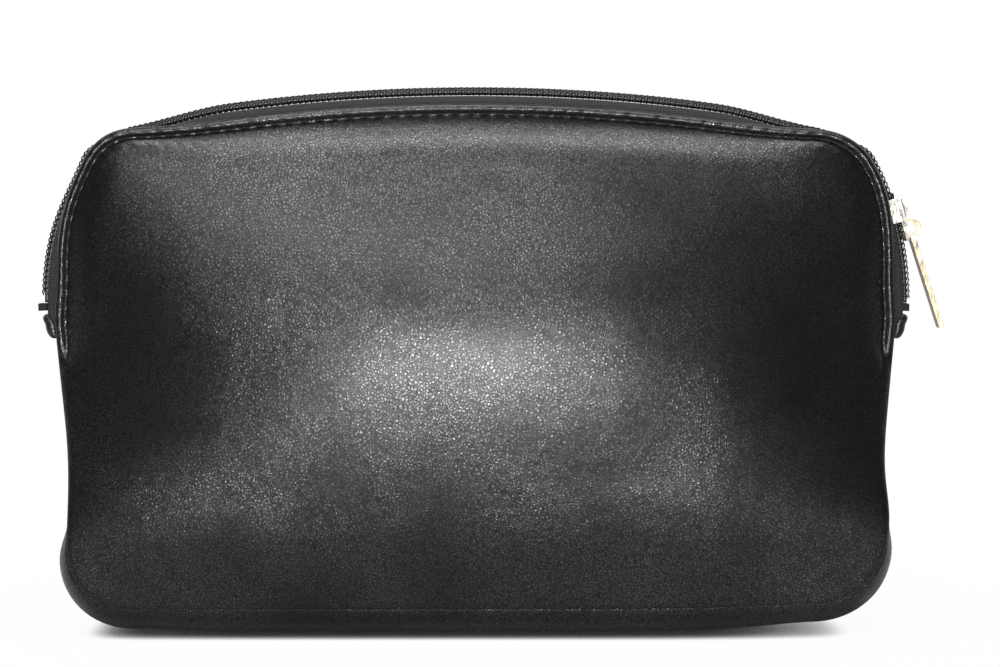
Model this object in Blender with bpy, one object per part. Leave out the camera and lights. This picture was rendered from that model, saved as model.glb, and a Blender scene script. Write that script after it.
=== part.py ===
# A soft leather cosmetic bag: two domed panels, a gusset that runs down both sides and
# under the base, and a coil zip that runs over the top from one side to the other.
# Metres, +Z up, +X to the right seen from the front, the front faces -Y.
# The origin is the middle of the underside, on the surface that the bag stands on.

import bpy
import bmesh
from collections import namedtuple
from math import acos, atan2, cos, pi, radians, sin, sqrt
from mathutils import Matrix, Vector

# Outline of the panels, seen from the front
ZIP_PEAK_HEIGHT = 0.1282
SIDE_HALF_WIDTH = 0.101
SIDE_RADIUS = 0.070
SIDE_CENTRE_BELOW_PEAK = 0.0482
SIDE_CENTRE_HEIGHT = ZIP_PEAK_HEIGHT - SIDE_CENTRE_BELOW_PEAK
TOP_CORNER_RADIUS = 0.016
TOP_CORNER_START_ANGLE = radians(27.5)
SIDE_PINCH = 0.0042
LOWER_HALF_WIDTH = SIDE_HALF_WIDTH - SIDE_PINCH
BASE_CORNER_RADIUS = 0.015
BASE_SEAM_HEIGHT = 0.0075

# Depth of the bag, measured from its middle plane
ZIP_HALF_DEPTH = 0.0122
BASE_HALF_DEPTH = 0.0235
BELLY_SWELL = 0.0055
BELLY_HALF_DEPTH = BASE_HALF_DEPTH + BELLY_SWELL
BELLY_HEIGHT = 0.065
BASE_TUCK = 0.0015
SIDE_TUCK = 0.004
EDGE_ROUND = 0.014

# Gusset
SIDE_FOLD = 0.006
FOLD_END_HEIGHT = 0.028
FOLD_SHARPNESS = 1.15
GUSSET_TOP_ANGLE = radians(-5.4)
TURN_HEIGHT = 0.012

# Layers of leather, interlining and lining
LEATHER = 0.0014
INTERLINING = 0.0012
LINING = 0.0006
SEAM_GAP = 0.0003
LINING_SEAM_GAP = 0.0007
LAYERS = LEATHER + INTERLINING + LINING + 2 * SEAM_GAP
TOP_BAND = 0.0033
INTERLINING_INSET = 0.0068
LINING_TOP_INSET = 0.0026
STIFFENER_END_MARGIN = 0.008
STIFFENER_SIDE_MARGIN = 0.0006

# Zip tapes
TAPE = 0.0006
TAPE_TUCK = TOP_BAND
TAPE_BEND = 0.002
TAPE_INNER_EDGE = 0.00045
TAPE_END_ANGLE = radians(-5.0)
SIDE_STAND_OUT = 0.0013
CORNER_SINK = 0.0017
SINK_RUN = 0.024

# Coil, drawn as two combs whose teeth lie between each other
TOOTH_PITCH = 0.0014
TOOTH_HEAD = 0.00042
TOOTH_OVERLAP = 0.00025
TOOTH_ROOT = 0.0013
COIL_HALF_WIDTH = 0.0021
COIL_HEIGHT = 0.00175
COIL_SEAT_GAP = 0.00025
OPEN_HALF_GAP = 0.0012
OPEN_FULL_ANGLE = radians(20.8)
COIL_END_ANGLE = radians(-0.6)

# Stops and leather tabs at the ends of the zip
STOP_LENGTH = 0.0017
STOP_CLEARANCE = 0.0003
STOP_PROUD = 0.0002
TAB_START_ANGLE = radians(-2.8)
TAB_LENGTH = 0.0056
TAB_HALF_WIDTH = 0.0092

# Slider
SLIDER_ANGLE = radians(15.5)
SLIDER_LENGTH = 0.012
SLIDER_PLATE = 0.0008
SLIDER_CLEARANCE = 0.00035
SLIDER_CHANNEL_HALF_WIDTH = 0.0037
SLIDER_FLANGE = 0.0009
SLIDER_SHOULDER_HALF_WIDTH = 0.0053
SLIDER_SHOULDER_LENGTH = 0.0034
SLIDER_CORNER = 0.0014
DIAMOND_LENGTH = 0.0038
DIAMOND_HALF_WIDTH = 0.00055
CROWN_TOP_END = 0.0047
CROWN_BOTTOM_END = -0.0026
CROWN_THICKNESS = 0.0007
CROWN_HALF_WIDTH = 0.0012

# Puller
PULLER_LENGTH = 0.0275
PULLER_HALF_WIDTH = 0.003
PULLER_THICKNESS = 0.0012
PULLER_LEAN = radians(2.5)
PULLER_PIN_RADIUS = 0.0004
PULLER_PIN_CLEARANCE = 0.0002
PULLER_PIN_BELOW_CENTRE = 0.001
EYE_HALF_GAP = 0.0017
EYE_HALF_WIDTH = 0.0027
EYE_LENGTH = 0.0046
EYE_BOW = 0.0026

# Counts of facets
TOP_STEPS = 10
TOP_CORNER_STEPS = 4
SIDE_STEPS = 4
BASE_CORNER_STEPS = 4
BASE_STEPS = 3
CORNER_STEPS = 3
EYE_STEPS = 7
PIN_STEPS = 5

# Ring places between the edge and the middle of a panel, and across the gusset
ROUND_ANGLES = (0.0, pi / 6, pi / 3, pi / 2)
BAND_SWELL_SHARE = 0.4
LEATHER_RING_SHARES = (0.35, 0.7)
LINING_RING_SHARES = (0.7,)
TOP_INSETS = (0.0, TOP_BAND, TOP_BAND + (EDGE_ROUND - TOP_BAND) * BAND_SWELL_SHARE, EDGE_ROUND)
LOWER_SIDE_SHARES = (0.0, 0.12, 0.25, 0.5, 0.75)
MIDDLE_SPREAD_SHARE = 0.45
MIDDLE_HEIGHT_SHARE = 0.48
GUSSET_ACROSS_SHARES = (-1, -0.86, -0.7, -0.507, 0, 0.507, 0.7, 0.86, 1)
TAB_ACROSS_SHARES = (-1, -0.5, 0, 0.5, 1)
FLANGE_INSET_SHARE = 0.15
PIN_FLAT_SHARE = 0.9

Station = namedtuple("Station", "x z nx nz depth turn bulge")
Arc = namedtuple("Arc", "x z radius start end")


def smooth(value):
    """Turn 0..1 into a soft step."""
    value = min(max(value, 0.0), 1.0)
    return value * value * (3.0 - 2.0 * value)


def mix(first, second, amount):
    return first + (second - first) * amount


def zip_arcs():
    """The zip's path: right side, right corner, top, left corner, left side."""
    reach = SIDE_RADIUS - TOP_CORNER_RADIUS
    side_x = SIDE_HALF_WIDTH - SIDE_RADIUS
    corner_x = side_x + reach * cos(TOP_CORNER_START_ANGLE)
    corner_z = SIDE_CENTRE_HEIGHT + reach * sin(TOP_CORNER_START_ANGLE)
    drop = corner_z - ZIP_PEAK_HEIGHT
    top_radius = (TOP_CORNER_RADIUS ** 2 - corner_x ** 2 - drop ** 2) / (2 * (drop + TOP_CORNER_RADIUS))
    top_z = ZIP_PEAK_HEIGHT - top_radius
    meet = atan2(corner_z - top_z, corner_x)
    start = TOP_CORNER_START_ANGLE
    return [
        Arc(side_x, SIDE_CENTRE_HEIGHT, SIDE_RADIUS, GUSSET_TOP_ANGLE, start),
        Arc(corner_x, corner_z, TOP_CORNER_RADIUS, start, meet),
        Arc(0, top_z, top_radius, meet, pi - meet),
        Arc(-corner_x, corner_z, TOP_CORNER_RADIUS, pi - meet, pi - start),
        Arc(-side_x, SIDE_CENTRE_HEIGHT, SIDE_RADIUS, pi - start, pi - GUSSET_TOP_ANGLE),
    ]


ARCS = zip_arcs()


def on_arc(arc, angle, out=0.0):
    """The point at an angle of an arc, moved outward, and the outward direction."""
    nx = cos(angle)
    nz = sin(angle)
    return arc.x + (arc.radius + out) * nx, arc.z + (arc.radius + out) * nz, nx, nz


def zip_angles(start, end):
    """The facets' angles along the zip, from one end to the other, each with its arc."""
    steps = (SIDE_STEPS, TOP_CORNER_STEPS, TOP_STEPS, TOP_CORNER_STEPS, SIDE_STEPS)
    places = [(ARCS[0], start)]
    for arc, count in zip(ARCS, steps):
        first = max(arc.start, start)
        last = min(arc.end, end)
        for step in range(1, count + 1):
            places.append((arc, mix(first, last, step / count)))
    return places


def edge_depth(z):
    """Half the bag's depth at the panel's edge: narrow at the zip, wide at the base."""
    tab_height = SIDE_CENTRE_HEIGHT + SIDE_RADIUS * sin(GUSSET_TOP_ANGLE)
    base_height = BASE_SEAM_HEIGHT + BASE_CORNER_RADIUS
    return mix(ZIP_HALF_DEPTH, BASE_HALF_DEPTH, smooth((tab_height - z) / (tab_height - base_height)))


def gusset_bulge(z):
    """How far the gusset stands out of the seam: folded in at the sides, full at the base."""
    tab_height = SIDE_CENTRE_HEIGHT + SIDE_RADIUS * sin(GUSSET_TOP_ANGLE)
    if z > FOLD_END_HEIGHT:
        return -SIDE_FOLD * sin(pi * (z - FOLD_END_HEIGHT) / (tab_height - FOLD_END_HEIGHT))
    return BASE_SEAM_HEIGHT * smooth((FOLD_END_HEIGHT - z) / (FOLD_END_HEIGHT - BASE_SEAM_HEIGHT))


def stand_out(arc, angle):
    """How far the zip stands out further than over the top: out at the sides, in at the top corners."""
    if arc is ARCS[0] or arc is ARCS[-1]:
        angle = min(angle, pi - angle)
        return SIDE_STAND_OUT * min(max((angle - TAPE_END_ANGLE) / (TAB_START_ANGLE - TAPE_END_ANGLE), 0.0), 1.0)
    if arc is ARCS[2]:
        run = arc.radius * min(angle - arc.start, arc.end - angle)
        return -CORNER_SINK * (1.0 - smooth(run / SINK_RUN))
    share = (angle - arc.start) / (arc.end - arc.start)
    return mix(SIDE_STAND_OUT, -CORNER_SINK, smooth(share if arc is ARCS[1] else 1.0 - share))


def zip_station(arc, angle):
    x, z, nx, nz = on_arc(arc, angle)
    return Station(x, z, nx, nz, ZIP_HALF_DEPTH, 0.0, 0.0)


def lower_station(x, z, nx, nz):
    tab_height = SIDE_CENTRE_HEIGHT + SIDE_RADIUS * sin(GUSSET_TOP_ANGLE)
    turn = smooth((tab_height - z) / TURN_HEIGHT)
    return Station(x, z, nx, nz, edge_depth(z), turn, gusset_bulge(z))


def lower_right():
    """Stations down the right side below the zip, round the corner and along the base."""
    x0, z0, nx, nz = on_arc(ARCS[0], GUSSET_TOP_ANGLE)
    corner_x = LOWER_HALF_WIDTH - BASE_CORNER_RADIUS
    corner_z = BASE_SEAM_HEIGHT + BASE_CORNER_RADIUS
    pull = (z0 - corner_z) / 2
    points = (
        Vector((x0, z0)),
        Vector((x0 + pull * nz, z0 - pull * nx)),
        Vector((LOWER_HALF_WIDTH, corner_z + pull)),
        Vector((LOWER_HALF_WIDTH, corner_z)),
    )
    stations = []
    for t in LOWER_SIDE_SHARES:
        first, second, third = (before.lerp(after, t) for before, after in zip(points, points[1:]))
        near = first.lerp(second, t)
        far = second.lerp(third, t)
        place = near.lerp(far, t)
        run = (far - near).normalized()
        stations.append(lower_station(place.x, place.y, -run.y, run.x))
    corner = Arc(corner_x, corner_z, BASE_CORNER_RADIUS, 0.0, -pi / 2)
    for step in range(BASE_CORNER_STEPS + 1):
        angle = mix(corner.start, corner.end, step / BASE_CORNER_STEPS)
        stations.append(lower_station(*on_arc(corner, angle)))
    for step in range(1, BASE_STEPS + 1):
        stations.append(lower_station(mix(corner_x, 0.0, step / BASE_STEPS), BASE_SEAM_HEIGHT, 0.0, -1.0))
    return stations


def mirrored(station):
    return station._replace(x=-station.x, nx=-station.nx)


def lower_path():
    """Every station of the gusset, from its right end down, under the base and up the left side."""
    right = lower_right()
    return right + [mirrored(station) for station in reversed(right[:-1])]


def panel_path():
    """The closed outline of a panel, down the right side first."""
    over = [zip_station(arc, angle) for arc, angle in zip_angles(GUSSET_TOP_ANGLE, pi - GUSSET_TOP_ANGLE)]
    return lower_path() + over[-2:0:-1]


def face_depth(x, z):
    """Distance of the panel's outer face from the bag's middle plane, without its rounded edge."""
    if z > BELLY_HEIGHT:
        rise = sin(pi / 2 * min((ZIP_PEAK_HEIGHT - z) / (ZIP_PEAK_HEIGHT - BELLY_HEIGHT), 1.0))
        depth = mix(ZIP_HALF_DEPTH, BELLY_HALF_DEPTH, max(rise, 0.0))
    else:
        depth = BELLY_HALF_DEPTH - BASE_TUCK * ((BELLY_HEIGHT - z) / BELLY_HEIGHT) ** 2
    return depth - SIDE_TUCK * (x / SIDE_HALF_WIDTH) ** 2 * (depth - ZIP_HALF_DEPTH) / BELLY_HALF_DEPTH


def top_profile(station, inward):
    """Edge rings where the zip is: a flat band, then the leather swells."""
    outline = Vector((station.x, station.z))
    toward = (panel_middle(station) - outline).normalized()
    points = []
    for inset in TOP_INSETS:
        place = outline + toward * inset
        swell = smooth((inset - TOP_BAND) / (EDGE_ROUND - TOP_BAND))
        depth = mix(station.depth, face_depth(place.x, place.y), swell)
        points.append(Vector((place.x, depth - inward, place.y)))
    return points


def side_profile(station, inward):
    """Edge rings where the gusset is: the leather turns from the seam to the face in a quarter round."""
    outline = Vector((station.x, station.z)) - Vector((station.nx, station.nz)) * inward
    toward = (panel_middle(station) - outline).normalized()
    points = []
    for angle in ROUND_ANGLES:
        place = outline + toward * (EDGE_ROUND - inward) * (1.0 - cos(angle))
        face = max(face_depth(place.x, place.y), station.depth + LAYERS + SEAM_GAP) - inward
        points.append(Vector((place.x, mix(station.depth, face, sin(angle)), place.y)))
    return points


def panel_middle(station):
    """The point of the panel's middle that a station's rings run to."""
    return Vector((station.x * MIDDLE_SPREAD_SHARE, ZIP_PEAK_HEIGHT * MIDDLE_HEIGHT_SHARE))


def start_ring(trim):
    """The place among the edge rings, as a fraction of a ring, that lies trim below the zip."""
    after = next(index for index, inset in enumerate(TOP_INSETS) if inset >= trim)
    if not after:
        return 0.0
    return after - (TOP_INSETS[after] - trim) / (TOP_INSETS[after] - TOP_INSETS[after - 1])


def trimmed(points, start):
    """As many points again, along the stretch of the edge rings that begins at a fraction of a ring."""
    kept = [index for index in range(len(points)) if index > start] if start else list(range(len(points)))
    missing = len(points) - len(kept)
    places = [mix(start, kept[0], step / missing) for step in range(missing)] + kept
    result = []
    for place in places:
        first = min(int(place), len(points) - 2)
        result.append(points[first].lerp(points[first + 1], place - first))
    return result


def panel_rings(path, inward, starts, shares):
    """Rings of points of one face of a panel, from its edge to its middle.

    inward is the face's distance from the bag's outside. starts holds how far from the edge it
    ends along the zip and along the gusset.
    """
    rings = [[] for _ in range(len(ROUND_ANGLES) + len(shares))]
    zip_start, gusset_start = (start_ring(inset) for inset in starts)
    for station in path:
        over = top_profile(station, inward)
        under = side_profile(station, inward)
        edge = [first.lerp(second, station.turn) for first, second in zip(over, under)]
        rounded = Vector((edge[-1].x, edge[-1].z))
        edge = trimmed(edge, mix(zip_start, gusset_start, station.turn))
        for share in shares:
            place = rounded.lerp(panel_middle(station), share)
            edge.append(Vector((place.x, face_depth(place.x, place.y) - inward, place.y)))
        for ring, point in zip(rings, edge):
            ring.append(point)
    return rings


def new_object(name, verts, faces, material, smooth_angle=radians(35)):
    mesh = bpy.data.meshes.new(name)
    mesh.from_pydata([Vector(vert) for vert in verts], [], faces)
    shell = bmesh.new()
    shell.from_mesh(mesh)
    bmesh.ops.recalc_face_normals(shell, faces=shell.faces)
    shell.to_mesh(mesh)
    shell.free()
    mesh.shade_smooth()
    mesh.set_sharp_from_angle(angle=smooth_angle)
    mesh.materials.append(material)
    item = bpy.data.objects.new(name, mesh)
    bpy.context.scene.collection.objects.link(item)
    return item


def make_material(name, colour, roughness, metallic=0.0):
    material = bpy.data.materials.new(name)
    material.use_nodes = True
    shader = material.node_tree.nodes["Principled BSDF"]
    shader.inputs["Base Color"].default_value = (*colour, 1.0)
    shader.inputs["Roughness"].default_value = roughness
    shader.inputs["Metallic"].default_value = metallic
    return material


def add_panel_layer(name, side, outer, inner, starts, shares, material):
    """One layer of a panel between two distances from the outside; side is -1 in front, 1 behind."""
    path = panel_path()
    count = len(path)
    rings_out = panel_rings(path, outer, starts, shares)
    rings_in = panel_rings(path, inner, starts, shares)
    verts = []
    faces = []
    for rings in (rings_out, rings_in):
        for ring in rings:
            verts.extend((x, side * y, z) for x, y, z in ring)
        middle = [sum(axis) / count for axis in zip(*rings[-1])]
        deep = face_depth(0.0, middle[2]) - (outer if rings is rings_out else inner)
        verts.append((0.0, side * deep, middle[2]))
    layers = len(rings_out)
    half = layers * count + 1
    for base in (0, half):
        for ring in range(layers - 1):
            first = base + ring * count
            for step in range(count):
                after = (step + 1) % count
                faces.append((first + step, first + after, first + count + after, first + count + step))
        last = base + (layers - 1) * count
        for step in range(count):
            faces.append((last + step, last + (step + 1) % count, base + layers * count))
    for step in range(count):
        after = (step + 1) % count
        faces.append((step, after, half + after, half + step))
    return new_object(name, verts, faces, material)


def gusset_section(station, inward, layer_depth, seam):
    """Points across the gusset at one station, from the front seam to the back seam."""
    half = station.depth - seam - (1.0 - station.turn) * layer_depth
    points = []
    for share in GUSSET_ACROSS_SHARES:
        full = min(1.0, FOLD_SHARPNESS * (1.0 - abs(share) ** 3))
        out = station.bulge * full - inward
        points.append((station.x + station.nx * out, share * half, station.z + station.nz * out))
    return points


def loft(name, sections_out, sections_in, material):
    """A strip with thickness, from matching outer and inner rows of points."""
    across = len(sections_out[0])
    verts = []
    for outer, inner in zip(sections_out, sections_in):
        verts.extend(outer)
        verts.extend(reversed(inner))
    ring = 2 * across
    faces = []
    for row in range(len(sections_out) - 1):
        for step in range(ring):
            after = (step + 1) % ring
            first = row * ring
            faces.append((first + step, first + after, first + ring + after, first + ring + step))
    end = (len(sections_out) - 1) * ring
    for step in range(across - 1):
        back = ring - 1 - step
        faces.append((step, step + 1, back - 1, back))
        faces.append((end + step, end + step + 1, end + back - 1, end + back))
    return new_object(name, verts, faces, material)


def add_gusset_layer(name, outer, inner, seam, material):
    path = lower_path()
    rows_out = [gusset_section(station, outer, inner, seam) for station in path]
    rows_in = [gusset_section(station, inner, inner, seam) for station in path]
    return loft(name, rows_out, rows_in, material)


def opening_half_gap(arc, angle):
    """Half the gap between the zip's halves: they stand apart only where the slider runs."""
    if arc is not ARCS[0]:
        return 0.0
    return OPEN_HALF_GAP * (1.0 - smooth((angle - OPEN_FULL_ANGLE) / (arc.end - OPEN_FULL_ANGLE)))


def add_zip_tape(name, side, material):
    """A tape that lies flat under the coil, bends down and is sewn behind the leather's edge."""
    outer_y = ZIP_HALF_DEPTH - LEATHER - SEAM_GAP
    inner_y = outer_y - TAPE
    flat_y = outer_y - TAPE_BEND
    bend_in = TAPE_BEND - TAPE
    diagonal = cos(pi / 4)
    rows_out = []
    rows_in = []
    places = zip_angles(TAB_START_ANGLE, pi - TAB_START_ANGLE)
    for arc, angle in [(ARCS[0], TAPE_END_ANGLE)] + places + [(ARCS[-1], pi - TAPE_END_ANGLE)]:
        inner_edge = TAPE_INNER_EDGE + opening_half_gap(arc, angle)
        base = stand_out(arc, angle)
        outer = (
            (inner_edge, base + TAPE),
            (flat_y, base + TAPE),
            (flat_y + TAPE_BEND * diagonal, base + TAPE - TAPE_BEND * (1 - diagonal)),
            (outer_y, base + TAPE - TAPE_BEND),
            (outer_y, -TAPE_TUCK),
        )
        inner = (
            (inner_edge, base),
            (flat_y, base),
            (flat_y + bend_in * diagonal, base - bend_in * (1 - diagonal)),
            (inner_y, base - bend_in),
            (inner_y, -TAPE_TUCK),
        )
        for points, rows in ((outer, rows_out), (inner, rows_in)):
            row = []
            for y, out in points:
                x, z, nx, nz = on_arc(arc, angle, out)
                row.append((x, side * y, z))
            rows.append(row)
    return loft(name, rows_out, rows_in, material)


def tooth_places():
    """Arc and angle of every quarter pitch of the coil, spaced evenly along it."""
    seat = TAPE + COIL_SEAT_GAP
    lengths = []
    for arc in ARCS:
        start = max(arc.start, COIL_END_ANGLE)
        end = min(arc.end, pi - COIL_END_ANGLE)
        radius = arc.radius + seat + stand_out(arc, (start + end) / 2)
        lengths.append((arc, start, radius, radius * (end - start)))
    total = sum(length for arc, start, radius, length in lengths)
    count = int(total / TOOTH_PITCH)

    def place(distance):
        for arc, start, radius, length in lengths:
            if distance <= length or arc is ARCS[-1]:
                return arc, start + distance / radius
            distance -= length

    return count, place


def add_zip_coil(name, side, material):
    """Half of the coil: a cord along the tape whose teeth reach between those of the other half."""
    count, place = tooth_places()
    low = TAPE + COIL_SEAT_GAP
    high = low + COIL_HEIGHT
    shift = 0.25 if side < 0 else -0.25
    half_head = TOOTH_HEAD / 2
    verts = []
    faces = []

    def column(distance, y):
        arc, angle = place(distance)
        gap = opening_half_gap(arc, angle)
        base = stand_out(arc, angle)
        for out in (low, high):
            x, z, nx, nz = on_arc(arc, angle, base + out)
            verts.append((x, side * (y + gap), z))
        return len(verts) - 2

    previous = None
    for tooth in range(1, count):
        centre = (tooth + shift) * TOOTH_PITCH
        root = column(centre - TOOTH_PITCH / 2, TOOTH_ROOT)
        back = column(centre - TOOTH_PITCH / 2, COIL_HALF_WIDTH)
        head_start = column(centre - half_head, -TOOTH_OVERLAP)
        head_end = column(centre + half_head, -TOOTH_OVERLAP)
        if previous:
            faces.extend(tooth_faces(*previous, root, back))
        else:
            faces.append((root, root + 1, back + 1, back))
        previous = (root, back, head_start, head_end)
    centre = (count - 1 + shift) * TOOTH_PITCH
    root = column(centre + TOOTH_PITCH / 2, TOOTH_ROOT)
    back = column(centre + TOOTH_PITCH / 2, COIL_HALF_WIDTH)
    faces.extend(tooth_faces(*previous, root, back))
    faces.append((root, root + 1, back + 1, back))
    return new_object(name, verts, faces, material)


def tooth_faces(root, back, head_start, head_end, next_root, next_back):
    """Faces of one pitch of the coil between two rear columns."""
    faces = [
        (root, head_start, head_end, next_root, next_back, back),
        (root + 1, head_start + 1, head_end + 1, next_root + 1, next_back + 1, back + 1),
        (back, back + 1, next_back + 1, next_back),
    ]
    for first, second in ((root, head_start), (head_start, head_end), (head_end, next_root)):
        faces.append((first, first + 1, second + 1, second))
    return faces


def add_block(name, angles, low, high, across, material):
    """A block that follows one of the zip's side arcs, with rows of points across it."""
    arc = ARCS[0] if angles[-1] < pi / 2 else ARCS[-1]
    rows_out = []
    rows_in = []
    for angle in angles:
        base = stand_out(arc, angle)
        for rows, out in ((rows_out, high), (rows_in, low)):
            row = []
            for y in across:
                x, z, nx, nz = on_arc(arc, angle, base + out)
                row.append((x, y, z))
            rows.append(row)
    return loft(name, rows_out, rows_in, material)


def add_zip_ends(metal, leather):
    """The stops that end the coil, and the leather tab over each end of the zip."""
    low = TAPE + COIL_SEAT_GAP
    high = low + COIL_HEIGHT + STOP_PROUD
    turn = 1.0 / (SIDE_RADIUS + low + SIDE_STAND_OUT)
    stop_top = COIL_END_ANGLE - STOP_CLEARANCE * turn
    stop_end = stop_top - STOP_LENGTH * turn
    stop = (stop_end, (stop_end + stop_top) / 2, stop_top)
    inner = OPEN_HALF_GAP - TOOTH_OVERLAP
    outer = OPEN_HALF_GAP + COIL_HALF_WIDTH + STOP_PROUD
    for name, side in (("zip_top_stop_front", -1), ("zip_top_stop_back", 1)):
        add_block(name, stop, low, high, (side * inner, side * outer), metal)
    half = COIL_HALF_WIDTH + STOP_PROUD
    add_block("zip_bottom_stop", [pi - angle for angle in reversed(stop)], low, high, (-half, half), metal)
    tab = (TAB_START_ANGLE - TAB_LENGTH * turn, TAPE_END_ANGLE, TAB_START_ANGLE)
    across = [TAB_HALF_WIDTH * share for share in TAB_ACROSS_SHARES]
    add_block("zip_end_tab_right", tab, low, low + LEATHER, across, leather)
    add_block("zip_end_tab_left", [pi - angle for angle in reversed(tab)], low, low + LEATHER, across, leather)


def rounded_outline(corners, radii):
    """A closed outline with its corners rounded by arcs of the given radii."""
    outline = []
    count = len(corners)
    for index, radius in enumerate(radii):
        corner = Vector(corners[index])
        before = (Vector(corners[index - 1]) - corner).normalized()
        after = (Vector(corners[(index + 1) % count]) - corner).normalized()
        if not radius:
            outline.append(corner)
            continue
        half_angle = acos(max(-1.0, min(1.0, before.dot(after)))) / 2
        reach = radius / sin(half_angle)
        middle = corner + (before + after).normalized() * reach
        run = sqrt(reach * reach - radius * radius)
        first = corner + before * run - middle
        last = corner + after * run - middle
        for step in range(CORNER_STEPS + 1):
            turned = first.lerp(last, step / CORNER_STEPS).normalized() * radius
            outline.append(middle + turned)
    return outline


def prism(name, outline, low, high, place, material):
    """A solid with the given outline between two levels; place turns outline and level into a point."""
    count = len(outline)
    verts = [place(point[0], point[1], level) for level in (low, high) for point in outline]
    faces = [tuple(range(count)), tuple(range(count, 2 * count))]
    for step in range(count):
        after = (step + 1) % count
        faces.append((step, after, count + after, count + step))
    return new_object(name, verts, faces, material)


def combine(item, tool, operation):
    """Join a helper solid to an object, or cut with it."""
    change = item.modifiers.new(tool.name, "BOOLEAN")
    change.operation = operation
    change.solver = "EXACT"
    change.object = tool
    tool.hide_render = True
    tool.display_type = "WIRE"
    tool.parent = item


def plan(y, z, level):
    """A point of an outline drawn in plan on the slider: across, along, and out from the bag."""
    return Vector((level, y, z))


def profile(out, z, level):
    """A point of an outline drawn from the slider's side: out, along, and across."""
    return Vector((out, level, z))


def slider_levels():
    """Distances from the side arc's centre: the lower plate, the channel, the upper plate and the pin."""
    half = SLIDER_LENGTH / 2
    sagitta = SIDE_RADIUS - sqrt(SIDE_RADIUS ** 2 - half ** 2)
    tape_bottom = SIDE_RADIUS + SIDE_STAND_OUT
    coil_top = tape_bottom + TAPE + COIL_SEAT_GAP + COIL_HEIGHT
    below = tape_bottom - sagitta - SLIDER_CLEARANCE
    above = coil_top + SLIDER_CLEARANCE
    top = above + SLIDER_PLATE
    pin = top + PULLER_PIN_CLEARANCE + PULLER_PIN_RADIUS
    return below - SLIDER_PLATE, below, above, top, pin


def slider_plan():
    """Outline of the slider's plates: broad shoulders at the mouth, drawn in to a tail with flanges."""
    half = SLIDER_LENGTH / 2
    tail = SLIDER_CHANNEL_HALF_WIDTH + SLIDER_FLANGE
    wide = SLIDER_SHOULDER_HALF_WIDTH
    shoulder = -half + SLIDER_SHOULDER_LENGTH
    waist = shoulder + (wide - tail) * 2
    corners = (
        (-wide, -half), (wide, -half), (wide, shoulder), (tail, waist), (tail, half), (-tail, half),
        (-tail, waist), (-wide, shoulder),
    )
    radii = (SLIDER_CORNER, SLIDER_CORNER, 0, 0, SLIDER_CORNER, SLIDER_CORNER, 0, 0)
    return rounded_outline(corners, radii), waist


def add_slider(arm, metal):
    """Two plates joined by the diamond between the zip's halves, with side flanges."""
    lower, below, above, top, pin = slider_levels()
    outline, waist = slider_plan()
    half = SLIDER_LENGTH / 2
    sink = SLIDER_PLATE / 2
    body = prism("slider_body", outline, above, top, plan, metal)
    body.parent = arm
    combine(body, prism("lower_plate_shape", outline, lower, below, plan, metal), "UNION")
    diamond = (
        (-DIAMOND_HALF_WIDTH, -half + SLIDER_PLATE), (0.0, -half + sink),
        (DIAMOND_HALF_WIDTH, -half + SLIDER_PLATE), (0.0, -half + DIAMOND_LENGTH),
    )
    combine(body, prism("diamond_shape", diamond, below - sink, above + sink, plan, metal), "UNION")
    flange_bottom = SIDE_RADIUS + SIDE_STAND_OUT + TAPE + SEAM_GAP
    skin = SLIDER_FLANGE * FLANGE_INSET_SHARE
    for name, side in (("front_flange_shape", -1), ("back_flange_shape", 1)):
        near = side * SLIDER_CHANNEL_HALF_WIDTH
        far = side * (SLIDER_CHANNEL_HALF_WIDTH + SLIDER_FLANGE - skin)
        end = half - SLIDER_CORNER
        flange = ((near, waist), (far, waist), (far, end), (near, end))
        combine(body, prism(name, flange, flange_bottom, above + sink, plan, metal), "UNION")
    crown_low = pin + PULLER_PIN_RADIUS + PULLER_PIN_CLEARANCE
    crown_high = crown_low + CROWN_THICKNESS
    foot = CROWN_THICKNESS
    crown = (
        (top - sink, CROWN_TOP_END), (crown_high, CROWN_TOP_END), (crown_high, CROWN_BOTTOM_END),
        (top - sink, CROWN_BOTTOM_END), (top - sink, CROWN_BOTTOM_END + foot),
        (crown_low, CROWN_BOTTOM_END + foot), (crown_low, CROWN_TOP_END - foot),
        (top - sink, CROWN_TOP_END - foot),
    )
    crown_outline = rounded_outline(crown, (0, foot, foot, 0, 0, 0, 0, 0))
    crown_shape = prism("crown_shape", crown_outline, -CROWN_HALF_WIDTH, CROWN_HALF_WIDTH, profile, metal)
    combine(body, crown_shape, "UNION")


def puller_centreline():
    """The puller seen from its side: a bowed eye from the pin, then a straight plate."""
    lift = PULLER_THICKNESS / 2
    points = []
    for step in range(EYE_STEPS + 1):
        share = step / EYE_STEPS
        points.append(Vector((EYE_BOW * sin(pi * share) + lift * share, -EYE_LENGTH * share)))
    straight = PULLER_LENGTH - EYE_LENGTH
    points.append(points[-1] + Vector((sin(PULLER_LEAN), -cos(PULLER_LEAN))) * straight)
    return points


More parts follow.
